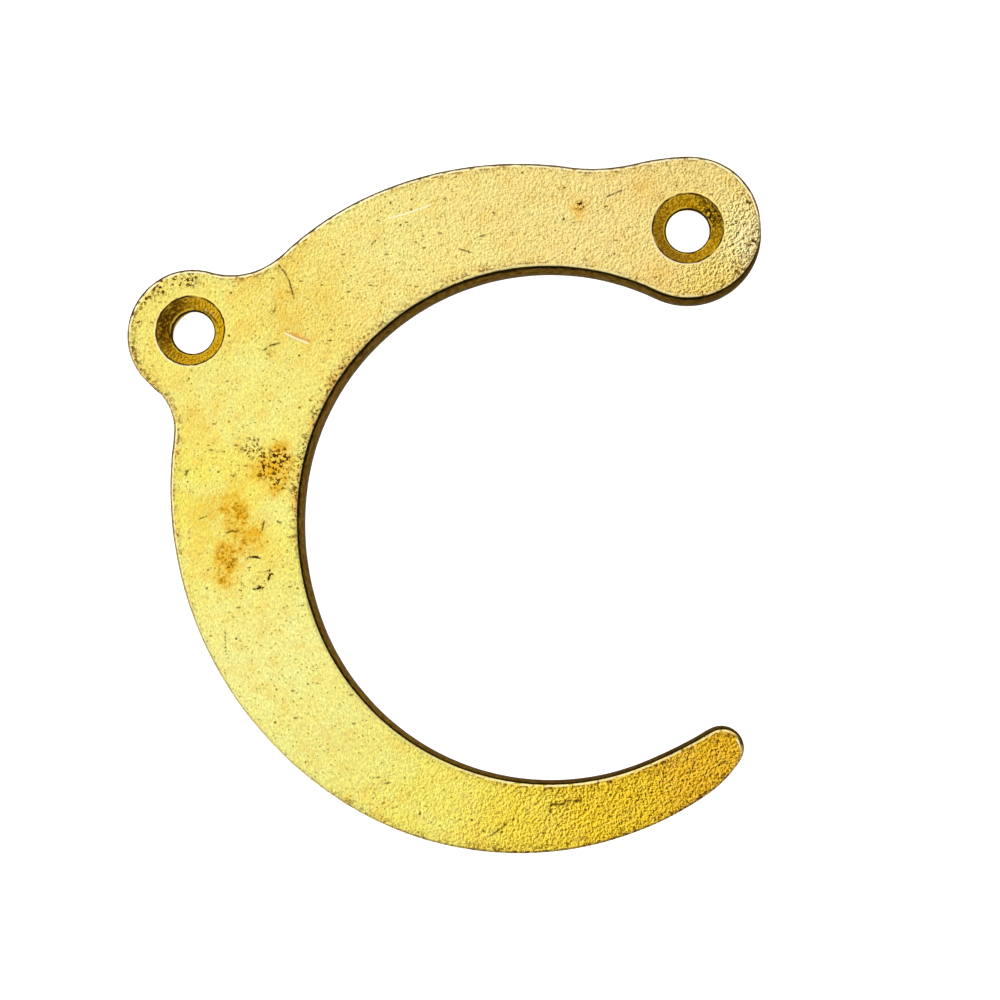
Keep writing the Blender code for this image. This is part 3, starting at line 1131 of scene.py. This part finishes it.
        # painted highlight line along the rounding, and a painted dark line just behind it
        beyond = gap - dark * 0.17
        light = beyond.step(-0.03, 0.03) * beyond.step(0.20, 0.12)
        behind_highlight = beyond.step(0.18, 0.22) * beyond.step(0.30, 0.25) * uneven.step(0.52, 0.60)
        edge_highlight = graph.mix(dark, self.cream_highlight, self.rim_light)
        return graph.painted(
            colour,
            (light * lit * uneven.step(0.36, 0.50), edge_highlight),
            (behind_highlight * lit * 0.8, self.grain_shade_brown),
            # painted shadow line along the outer edge
            (gap.step(0.20, 0.15) * dark, self.edge_shadow_grey),
        )

    def _seat(self, graph: ShaderGraph, place: Socket) -> Socket:
        """The countersinks: golden where the cutter left them bright, with painted shade on one
        side, painted shade and highlights on their grain, and dark dirt and pits.

        Args:
            graph: The material's graph.
            place: The place in millimetres.

        Returns:
            The colour.
        """
        ragged = graph.noise(place, 0.26, 3.0, 0.65)
        crumbs = graph.noise(place, *CRUMBS)
        seat_shade, speckled = graph.attribute("seat_shade"), graph.attribute("speckled")
        lean = graph.slopes(place, 0.20, 0.07)
        # dirt, stronger where the painted shade lies
        dirt = (speckled * ragged.step(0.41, 0.51) * (0.95 + seat_shade)).clamp()
        pits = speckled * crumbs.step(0.49, 0.55) * (1.4 - 1.1 * seat_shade).clamp()
        # painted shade: golden turning dark on one side of the countersink
        shaded_share = (seat_shade + (ragged - MIDDLE) * 0.7).clamp()
        return graph.painted(
            graph.mix(shaded_share, self.golden, self.golden_shaded),
            # painted shade and painted highlight on the grain's slopes
            (lean.step(-0.01, -0.09) * 0.75, self.seat_grain_shade),
            (lean.step(0.01, 0.09) * (0.95 - seat_shade * 0.7).clamp(), self.gold_highlight),
            (dirt * 0.80, self.rim_brown),
            (pits.clamp(), self.shade_and_pit_black),
        )

    def _wall(self, graph: ShaderGraph, place: Socket) -> Socket:
        """The sides: tarnish with painted shade, nearly black under the front edge, brown below,
        with a painted grey shadow towards the foot.

        Args:
            graph: The material's graph.
            place: The place in millimetres.

        Returns:
            The colour.
        """
        patchy = graph.noise(graph.stretched(place, (1.0, 1.0, 1.4)), 0.5, 3.0, 0.65)
        depth = graph.attribute("depth") + (patchy - MIDDLE) * 0.3
        colour = graph.mix(patchy.step(0.36, 0.66), self.tarnish_and_shade_deep, self.tarnish_and_shade)
        return graph.painted(
            # painted shade: the sides darker under the coarse stretches; then a painted grey shadow
            # towards the foot and painted shade nearly black under the front edge
            graph.scaled(colour, 1.0 - 0.55 * graph.attribute("coarse").clamp()),
            (depth.step(0.66, 0.90) * 0.8, self.foot_shadow_grey),
            (depth.step(0.46, 0.20), self.shade_and_pit_black),
        )

    def sockets(self, graph: ShaderGraph) -> dict[str, object]:
        """What goes into the shader's sockets.

        Args:
            graph: The material's graph.

        Returns:
            Values and links by socket name.
        """
        place = graph.millimetres()
        wall, sink = graph.attribute("wall"), graph.attribute("sink")
        face, height = self._face(graph, place)
        colour = self._rims(graph, place, graph.mix(sink, face, self._seat(graph, place)))
        broken = graph.noise(place, *RAGGED).step(0.36, 0.50)
        colour = graph.painted(
            colour,
            (graph.attribute("scratch") * broken, self.pock_and_shade_brown),
            # bright scratch lines: partly fresh metal, partly a painted highlight
            (graph.attribute("shine") * 0.9, self.bright),
        )
        colour = graph.mix(wall, self._edges(graph, place, colour), self._wall(graph, place))
        rough = graph.noise(place, *BROAD)
        relief = {"Strength": 0.4, "Distance": 0.02 * MM, "Height": height}
        return {
            "Base Color": colour,
            "Roughness": (self.roughness + 0.08 * rough + 0.25 * wall).clamp(),
            "Metallic": (1.0 - wall - 0.6 * sink).clamp(),
            "Specular IOR Level": 0.0,
            "Specular Tint": (*self.tint, 1.0),
            "Normal": graph.node("ShaderNodeBump", {}, relief),
        }


@dataclass(frozen=True)
class PaleTable(Finish):
    """The plain white board under the plate."""

    name: str = "pale_table"
    colour: Colour = (0.92, 0.92, 0.92)
    glow: float = 0.80

    def sockets(self, graph: ShaderGraph) -> dict[str, object]:
        """What goes into the shader's sockets."""
        return {
            "Base Color": (*self.colour, 1.0),
            "Roughness": 0.9,
            "Specular IOR Level": 0.1,
            "Emission Color": (1.0, 1.0, 1.0, 1.0),
            "Emission Strength": self.glow,
        }


# --- The plate ---


class MeshStore:
    """Collects vertices and faces until the whole piece is there."""

    def __init__(self) -> None:
        """Start empty."""
        self.places: list[np.ndarray] = []
        self.faces: list[tuple[int, ...]] = []
        self.marks: dict[str, list[np.ndarray]] = {"wall": [], "sink": [], "face": []}
        self.count = 0

    def add(
        self, places: np.ndarray, wall: float = 0.0, sink: float = 0.0, face: float = 0.0
    ) -> np.ndarray:
        """Add vertices.

        Args:
            places: Their places in millimetres.
            wall: How far they belong to the plate's edge.
            sink: How far they belong to a screw hole.
            face: 1 on the front face.

        Returns:
            Their numbers.
        """
        numbers = np.arange(self.count, self.count + len(places))
        self.places.append(np.asarray(places, float))
        for name, value in (("wall", wall), ("sink", sink), ("face", face)):
            self.marks[name].append(np.full(len(places), float(value)))
        self.count += len(places)
        return numbers

    def sleeve(self, rows: Sequence[np.ndarray]) -> None:
        """Join closed rows of equal count by quads, each row to the next, facing outward.

        Args:
            rows: The vertices of each row.
        """
        for upper, lower in zip(rows[:-1], rows[1:]):
            for corners in zip(upper, lower, np.roll(lower, -1), np.roll(upper, -1)):
                self.faces.append(tuple(int(corner) for corner in corners))

    def gathered(self) -> tuple[np.ndarray, dict[str, np.ndarray]]:
        """All places and all marks as arrays."""
        return np.concatenate(self.places), {n: np.concatenate(v) for n, v in self.marks.items()}


@dataclass
class HolderPlate:
    """The cast plate with its drafted sides, softened edges and two screw holes."""

    shape: PlateShape
    wear: Wear
    finish: CastBrass
    edge_spacing: float = 0.20
    face_spacing: float = 0.165
    back_spacing: float = 0.45
    front_rounding: float = 0.19
    rounding_change: float = 0.45
    back_rounding: float = 0.15
    hole_segments: int = 120
    rim_rounding: float = 0.07
    wall_rows: int = 12
    cone_rows: int = 10
    bore_rows: int = 7
    wall_ripple: float = 0.014
    face_sink: float = 0.018
    mark_margin: float = 0.08
    mark_spacing: float = 0.09
    edge_zone: float = 1.5
    opening_centre: Point = (8.2, -1.0)
    store: MeshStore = field(default_factory=MeshStore)

    def build(self) -> bpy.types.Object:
        """Make the plate.

        Returns:
            The finished object.
        """
        edge = self.shape.smooth_edge(self.edge_spacing)
        front_edge, back_edge = self._edge_sides(edge)
        holes = [self._hole_sides(hole) for hole in self.shape.holes]
        self._cap(front_edge, [front for front, _ in holes], self.face_spacing, True)
        self._cap(back_edge, [back for _, back in holes], self.back_spacing, False)
        return self._finish_mesh(edge)

    def _edge_sides(self, edge: Loop) -> tuple[np.ndarray, np.ndarray]:
        """Build the plate's sides from the front face to the back face.

        Args:
            edge: The plate's edge at mid height.

        Returns:
            The vertices of the first row and of the last.
        """
        shape, points, ripple = self.shape, edge.points, Grain(11)
        change = ripple.at(points, 2.3) * 0.5 + ripple.at(points + 40.0, 0.8) * 0.4
        change = change + ripple.at(points, 0.35) * 0.4
        radius = self.front_rounding * (1 + self.rounding_change * change)
        rows = [(-(radius + inset), shape.top, 0.0) for inset in (0.16, 0.07)]
        for step in range(6):
            angle = math.pi / 2 * step / 5
            height = shape.top - radius * (1 - math.cos(angle))
            rows.append((-radius * (1 - math.sin(angle)), height, max(0.0, step - 3) / 2 * 0.8))
        wall_top, wall_end = shape.top - radius, shape.bottom + self.back_rounding
        for step in range(1, self.wall_rows + 1):
            share = step / (self.wall_rows + 1)
            rows.append((0.0, wall_top + share * (wall_end - wall_top), 1.0))
        for step in range(4):
            angle = math.pi / 2 * step / 3
            drop = self.back_rounding * (1 - math.sin(angle))
            rows.append((-self.back_rounding * (1 - math.cos(angle)), shape.bottom + drop, 1.0))
        rows.append((-self.back_rounding - 0.2, shape.bottom, 1.0))
        made = []
        for offset, height, wall in rows:
            height = np.broadcast_to(height, len(points))
            drafted = offset + (shape.SECTION_HIGH - height) * shape.draft
            spot = np.column_stack([points, height * 1.5])
            rough = ripple.at(spot + 9.0, 1.4) * 0.6 + ripple.at(spot - 7.0, 0.45) * 0.4
            drafted = drafted - self.wall_ripple * (1 + rough) * (0.25 + 0.75 * wall)
            flat = points + edge.outward * drafted[:, None]
            made.append(self.store.add(np.column_stack([flat, height]), wall, face=1.0 - wall))
        self.store.sleeve(made)
        return made[0], made[-1]

    def _hole_sides(self, hole: Hole) -> tuple[np.ndarray, np.ndarray]:
        """Build a screw hole's countersink and bore.

        Args:
            hole: The hole.

        Returns:
            The vertices of the row in the front face and of the one in the back face.
        """
        top, bottom, soft = self.shape.top, self.shape.bottom, self.rim_rounding
        rim, bore, back, foot = hole.rim_radius, hole.bore_radius, hole.back_radius, hole.cone_foot
        around = pointing(np.arange(self.hole_segments) * 2 * math.pi / self.hole_segments)
        slope = (rim - bore) / (top - foot)
        rows = [
            (rim + soft + 0.22, top, 0.0),
            (rim + soft + 0.08, top, 0.0),
            (rim + soft * 0.4, top - soft * 0.12, 0.0),
            (rim - soft * 0.2, top - soft * 0.55, 0.6),
        ]
        for step in range(1, self.cone_rows + 1):
            height = top - soft - step / (self.cone_rows + 1) * (top - soft - foot)
            rows.append((bore + slope * (height - foot), height, 1.0))
        rows.append((bore + 0.02, foot + 0.005, 1.0))
        for step in range(1, self.bore_rows + 1):
            share = step / (self.bore_rows + 1)
            rows.append((bore + share * (back - bore), foot * (1 - share) + bottom * share, 1.0))
        rows += [(back + 0.03, bottom + 0.04, 1.0), (back + 0.13, bottom, 1.0)]
        rows.append((back + 0.40, bottom, 1.0))
        chatter = Grain(23 + int(hole.centre[0]))
        made = []
        for radius, height, sink in rows:
            level = np.full(len(around), height)
            spot = np.column_stack([around * radius, level * 3])
            rough = chatter.at(spot, 0.7) * 0.012 + chatter.at(spot + 5.0, 2.6) * 0.02
            grown = radius + rough * (0.4 + 0.6 * sink)
            places = np.column_stack([hole.centre + around * grown[:, None], level])
            made.append(self.store.add(places, sink=sink, face=float(sink == 0.0)))
        self.store.sleeve(made[::-1])
        return made[0], made[-1]

    def _cap(self, edge: np.ndarray, holes: list[np.ndarray], spacing: float, front: bool) -> None:
        """Fill the front or the back face with even triangles.

        Args:
            edge: The vertices of the outer loop.
            holes: The vertices of each screw hole's loop.
            spacing: The distance between inner points.
            front: True for the front face, which carries the marks.
        """
        places, _ = self.store.gathered()
        loops = [edge, *holes]
        outline, *rings = (places[loop][:, :2] for loop in loops)
        rim = np.concatenate([outline, *rings])
        inner = self._inner_points(outline, rings, spacing)
        if front:
            inner = self._closer_at_marks(inner, outline, rings)
        level = np.full(len(inner), self.shape.top if front else self.shape.bottom)
        numbers = self.store.add(
            np.column_stack([inner, level]), wall=0.0 if front else 1.0, face=float(front)
        )
        every = np.concatenate([*loops, numbers])
        edges = []
        start = 0
        for loop in loops:
            edges += [(start + i, start + (i + 1) % len(loop)) for i in range(len(loop))]
            start += len(loop)
        corners = [Vector(point) for point in np.concatenate([rim, inner])]
        result = geometry.delaunay_2d_cdt(corners, edges, [], 1, 1e-7, True)
        made, triangles, origins = result[0], result[2], result[3]
        owner = [every[ids[0]] for ids in origins]
        group = np.full(self.store.count, -1)
        for index, loop in enumerate(loops):
            group[loop] = index
        for triangle in triangles:
            corners = [int(owner[c]) for c in triangle]
            groups = {int(group[c]) for c in corners}
            a, b, c = (made[t] for t in triangle)
            if len(groups) == 1 and -1 not in groups:
                if groups != {0} or not self._inside(outline, (a + b + c) / 3):
                    continue
            upward = (b.x - a.x) * (c.y - a.y) - (b.y - a.y) * (c.x - a.x) > 0
            self.store.faces.append(tuple(corners if upward == front else corners[::-1]))

    def _inner_points(
        self, outline: np.ndarray, rings: Sequence[np.ndarray], spacing: float
    ) -> np.ndarray:
        """Even points inside the outline and outside the holes.

        Args:
            outline: The places of the outer loop.
            rings: The places of each screw hole's loop.
            spacing: The distance between points.

        Returns:
            The points.
        """
        low, high = outline.min(axis=0), outline.max(axis=0)
        grid = []
        for index, height in enumerate(np.arange(low[1], high[1], spacing * math.sqrt(3) / 2)):
            across = np.arange(low[0] + (index % 2) * spacing / 2, high[0], spacing)
            inside = np.searchsorted(self._crossings(outline, height), across) % 2 == 1
            grid.append(np.column_stack([across[inside], np.full(int(inside.sum()), height)]))
        points = np.concatenate(grid)
        dice = np.random.default_rng(3)
        points += (dice.random(points.shape) - 0.5) * spacing * 0.12
        points = self._clear_of(rings, points, spacing * 0.55)
        tree = flat_tree(np.concatenate([outline, *rings]))
        return points[gaps_to(tree, points) > spacing * 0.62]

    def _closer_at_marks(
        self, points: np.ndarray, outline: np.ndarray, rings: Sequence[np.ndarray]
    ) -> np.ndarray:
        """The face's points, with closer ones where it is scratched or struck.

        Args:
            points: The even points.
            outline: The places of the outer loop.
            rings: The places of each screw hole's loop.

        Returns:
            The points.
        """
        extra = self.wear.close_points()
        tree = flat_tree(np.concatenate([outline, *rings]))
        inside = np.array([self._inside(outline, point) for point in extra])
        extra = extra[(gaps_to(tree, extra) > self.mark_margin) & inside]
        extra = self._clear_of(rings, extra, self.mark_margin)
        free = gaps_to(flat_tree(extra), points) > self.mark_spacing
        return np.concatenate([points[free], extra])

    @staticmethod
    def _clear_of(rings: Sequence[np.ndarray], points: np.ndarray, margin: float) -> np.ndarray:
        """The points that lie outside every ring by a margin.

        Args:
            rings: The points of each ring.
            points: The points to choose from.
            margin: How far outside they have to lie.

        Returns:
            The points that are left.
        """
        for ring in rings:
            centre = ring.mean(axis=0)
            reach = np.linalg.norm(ring - centre, axis=1).max()
            points = points[np.linalg.norm(points - centre, axis=1) > reach + margin]
        return points

    def _inside(self, outline: np.ndarray, point: Sequence[float]) -> bool:
        """Whether a point lies inside the outline."""
        return bool(np.searchsorted(self._crossings(outline, point[1]), point[0]) % 2 == 1)

    @staticmethod
    def _crossings(outline: np.ndarray, height: float) -> np.ndarray:
        """Where a level line crosses the outline, from left to right.

        Args:
            outline: The points of the outline.
            height: The level of the line.

        Returns:
            Where it crosses, along X.
        """
        after = onward(outline)
        cut = (outline[:, 1] > height) != (after[:, 1] > height)
        start, end = outline[cut], after[cut]
        share = (height - start[:, 1]) / (end[:, 1] - start[:, 1])
        return np.sort(start[:, 0] + share * (end[:, 0] - start[:, 0]))

    def _relief(self, places: np.ndarray, marks: dict[str, np.ndarray]) -> np.ndarray:
        """How far the front face lies below the CAD's.

        Args:
            places: The vertices in millimetres.
            marks: What each vertex belongs to.

        Returns:
            A depth per vertex.
        """
        swell = Grain(5)
        flat = places[:, :2]
        wave = 0.010 * swell.at(flat, 7.0) + 0.005 * swell.at(flat + 30.0, 2.2)
        _, coarse = self.wear.tone(places)
        pebble = swell.at(flat - 20.0, 0.42) * (0.0025 + 0.008 * np.clip(coarse - 0.2, 0, 1))
        face = marks["face"] > 0.5
        pits = np.zeros(len(places))
        pits[face] = self.wear.pits(places[face])
        _, grooves = self.wear.line_mask(places, *Mark)
        struck = self.wear.ring(places) * self.wear.ring_depth
        depth = np.maximum(self.face_sink - wave - pebble, 0.0) + pits + grooves + struck
        below = self.shape.top - places[:, 2]
        return depth * np.clip(1 - below / (2.5 * self.front_rounding), 0, 1)

    def _finish_mesh(self, edge: Loop) -> bpy.types.Object:
        """Sink the relief, carry the marks over and dress the plate.

        Args:
            edge: The plate's edge at mid height.

        Returns:
            The finished object.
        """
        places, marks = self.store.gathered()
        places[:, 2] -= self._relief(places, marks)
        mesh = bpy.data.meshes.new("cast_plate")
        mesh.from_pydata((places * MM).tolist(), [], self.store.faces)
        mesh.validate()
        mesh.shade_smooth()
        self._carry(mesh, places, marks, edge)
        plate = bpy.data.objects.new("cast_plate", mesh)
        bpy.context.scene.collection.objects.link(plate)
        mesh.materials.append(self.finish.material())
        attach(plate, BODY)
        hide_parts(PLATE_NODE)
        return plate

    def _by_edge(self, places: np.ndarray, edge: Loop) -> dict[str, np.ndarray]:
        """What the finish needs to know of the nearest stretch of edge.

        Args:
            places: The vertices in millimetres.
            edge: The plate's edge at mid height.

        Returns:
            The distance to the front edge, and how strongly its painted highlight and painted
            shadow line show.
        """
        tree = flat_tree(edge.points)
        found = [tree.find((x, y, 0.0)) for x, y in places[:, :2]]
        nearest = np.array([hit[1] for hit in found])
        gap = np.array([hit[2] for hit in found])
        gap = gap - (self.shape.top - self.shape.SECTION_HIGH) * self.shape.draft
        heading = bearing(edge.outward)
        inward = ((np.array(self.opening_centre) - edge.points) * edge.outward).sum(axis=1) > 0

        def facing(middle: float, width: float) -> np.ndarray:
            """How nearly each stretch of edge faces a direction."""
            return bell(apart(heading, middle), width)

        # painted highlight and painted shadow line, placed by the way each stretch of edge faces
        outer = np.clip(facing(140.0, 75.0) + 0.8 * facing(35.0, 50.0), 0, 1) * ~inward
        inner = (facing(95.0, 45.0) + 0.8 * facing(-95.0, 50.0)) * inward
        under = 0.55 * facing(-80.0, 55.0) * ~inward
        return {
            "edge_gap": gap,
            "edge_near": np.clip(1 - gap / self.edge_zone, 0, 1),
            "edge_shade": np.maximum(outer, under)[nearest],
            "edge_lit": np.clip(outer + inner, 0, 1)[nearest],
        }

    def _carry(
        self, mesh: bpy.types.Mesh, places: np.ndarray, marks: dict[str, np.ndarray], edge: Loop
    ) -> None:
        """Store what the finish needs at the vertices.

        Args:
            mesh: The plate's mesh.
            places: Its vertices in millimetres.
            marks: What each vertex belongs to.
            edge: The plate's edge at mid height.
        """
        wear, shape = self.wear, self.shape
        tone, coarse = wear.tone(places)
        # painted shade, dark specks and painted rim highlight of each countersink
        shades = {name: np.zeros(len(places)) for name in ("seat_shade", "speckled", "rim_lit")}
        for hole, seat in zip(shape.holes, wear.seats):
            seat.shade(places, hole, shades)
        off_wall = 1 - marks["wall"]
        face = marks["face"] * off_wall
        values = {
            "coarse": coarse,
            "wall": marks["wall"],
            "sink": marks["sink"],
            "stain": covered(places, wear.stains) * face,
            "pocked": covered(places, wear.pocks) * face,
            "edge_worn": covered(places, wear.edge_spots),
            "scratch": wear.line_mask(places, Mark.SCRATCH, Mark.DOTTED)[0] * off_wall,
            "shine": wear.line_mask(places, Mark.BRIGHT)[0] * off_wall,
            "copper": wear.line_mask(places, Mark.COPPER)[0] * face,
            "ring": wear.ring(places) * face,
            "depth": (shape.top - places[:, 2]) / (shape.top - shape.bottom),
            **self._by_edge(places, edge),
            **shades,
        }
        for name, value in values.items():
            layer = mesh.attributes.new(name, "FLOAT", "POINT")
            layer.data.foreach_set("value", value.astype(np.float32))
        layer = mesh.attributes.new("tone", "FLOAT_COLOR", "POINT")
        rgba = np.column_stack([tone, np.ones(len(tone))]).astype(np.float32)
        layer.data.foreach_set("color", rgba.ravel())


# --- The studio ---


@dataclass(frozen=True)
class SoftBox:
    """A large even light, in millimetres and watts."""

    name: str
    place: tuple[float, float, float]
    aim: tuple[float, float, float]
    side: float
    watts: float

    def build(self) -> None:
        """Hang the light and turn it to its aim."""
        lamp = bpy.data.lights.new(self.name, "AREA")
        lamp.shape = "RECTANGLE"
        lamp.size = lamp.size_y = self.side * MM
        lamp.energy = self.watts
        light = bpy.data.objects.new(self.name, lamp)
        light.location = Vector(self.place) * MM
        way = Vector(self.aim) - Vector(self.place)
        light.rotation_euler = way.to_track_quat("-Z", "Y").to_euler()
        bpy.context.scene.collection.objects.link(light)


@dataclass
class Studio:
    """A pale table, soft light from above and the camera."""

    table_size: float = 2400.0
    camera_place: tuple[float, float, float] = (15.47, -12.25, 145.0)
    camera_aim: tuple[float, float, float] = (4.693, 0.072, 3.0)
    lens: float = 66.38
    sensor: float = 36.0
    nearest: float = 0.01
    dim_wall: float = 0.30
    bright_wall: float = 1.00
    bright_side: Point = (-0.86, 0.51)
    zenith: float = 1.02
    light: SoftBox = SoftBox("high_softbox", (-110.0, 40.0, 330.0), (0.0, 0.0, 0.0), 230.0, 0.07)

    def build(self) -> None:
        """Set up everything that isn't the plate."""
        self._table()
        self._sky()
        self.light.build()
        self._camera()
        bpy.context.scene.view_settings.view_transform = "Standard"
        log.info("studio: table, sky, %s and camera", self.light.name)

    def _table(self) -> None:
        """Lay the table under the plate."""
        half = self.table_size / 2 * MM
        mesh = bpy.data.meshes.new("table")
        corners = [(-half, -half, 0.0), (half, -half, 0.0), (half, half, 0.0), (-half, half, 0.0)]
        mesh.from_pydata(corners, [], [(0, 1, 2, 3)])
        mesh.materials.append(PaleTable().material())
        table = bpy.data.objects.new("table", mesh)
        bpy.context.scene.collection.objects.link(table)

    def _sky(self) -> None:
        """Light the room evenly, brighter overhead than at its walls."""
        world = bpy.data.worlds.new("studio")
        bpy.context.scene.world = world
        world.use_nodes = True
        graph = ShaderGraph(world.node_tree)
        way = graph.node("ShaderNodeTexCoord", {}, {}, "Generated")
        up = graph.node("ShaderNodeSeparateXYZ", {}, {0: way}, "Z")
        side = graph.vector("DOT_PRODUCT", way, (*self.bright_side, 0.0), 1)
        greys = (self.dim_wall, self.bright_wall, self.zenith)
        dim, bright, above = ((grey,) * 3 for grey in greys)
        walls = graph.mix(side.step(-1.0, 1.0), dim, bright)
        light = graph.mix(up.step(0.0, 0.95), walls, above)
        sky = graph.raw("ShaderNodeBackground", {}, {"Color": light, "Strength": 1.0})
        graph.end("ShaderNodeOutputWorld", sky)

    def _camera(self) -> None:
        """Look down on the plate, a little from its lower right."""
        lens = bpy.data.cameras.new("camera")
        lens.lens = self.lens
        lens.sensor_width = self.sensor
        lens.clip_start = self.nearest
        camera = bpy.data.objects.new("camera", lens)
        place, aim = Vector(self.camera_place), Vector(self.camera_aim)
        ahead = (aim - place).normalized()
        right = ahead.cross(Vector((0.0, 1.0, 0.0))).normalized()
        turned = Matrix((right, right.cross(ahead), -ahead)).transposed().to_4x4()
        camera.matrix_world = Matrix.Translation(place * MM) @ turned
        bpy.context.scene.collection.objects.link(camera)
        bpy.context.scene.camera = camera


def main() -> None:
    """Build the plate and its studio."""
    logging.basicConfig(level=logging.INFO, format="%(name)s: %(message)s")
    shape = PlateShape(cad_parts[PLATE_NODE])
    log.info("shape: draft %.4f, %d screw holes", shape.draft, len(shape.holes))
    plate = HolderPlate(shape, Wear(), CastBrass(tuple(shape.holes))).build()
    log.info("piece %s: %d faces", plate.name, len(plate.data.polygons))
    Studio().build()


if __name__ == "__main__":
    main()
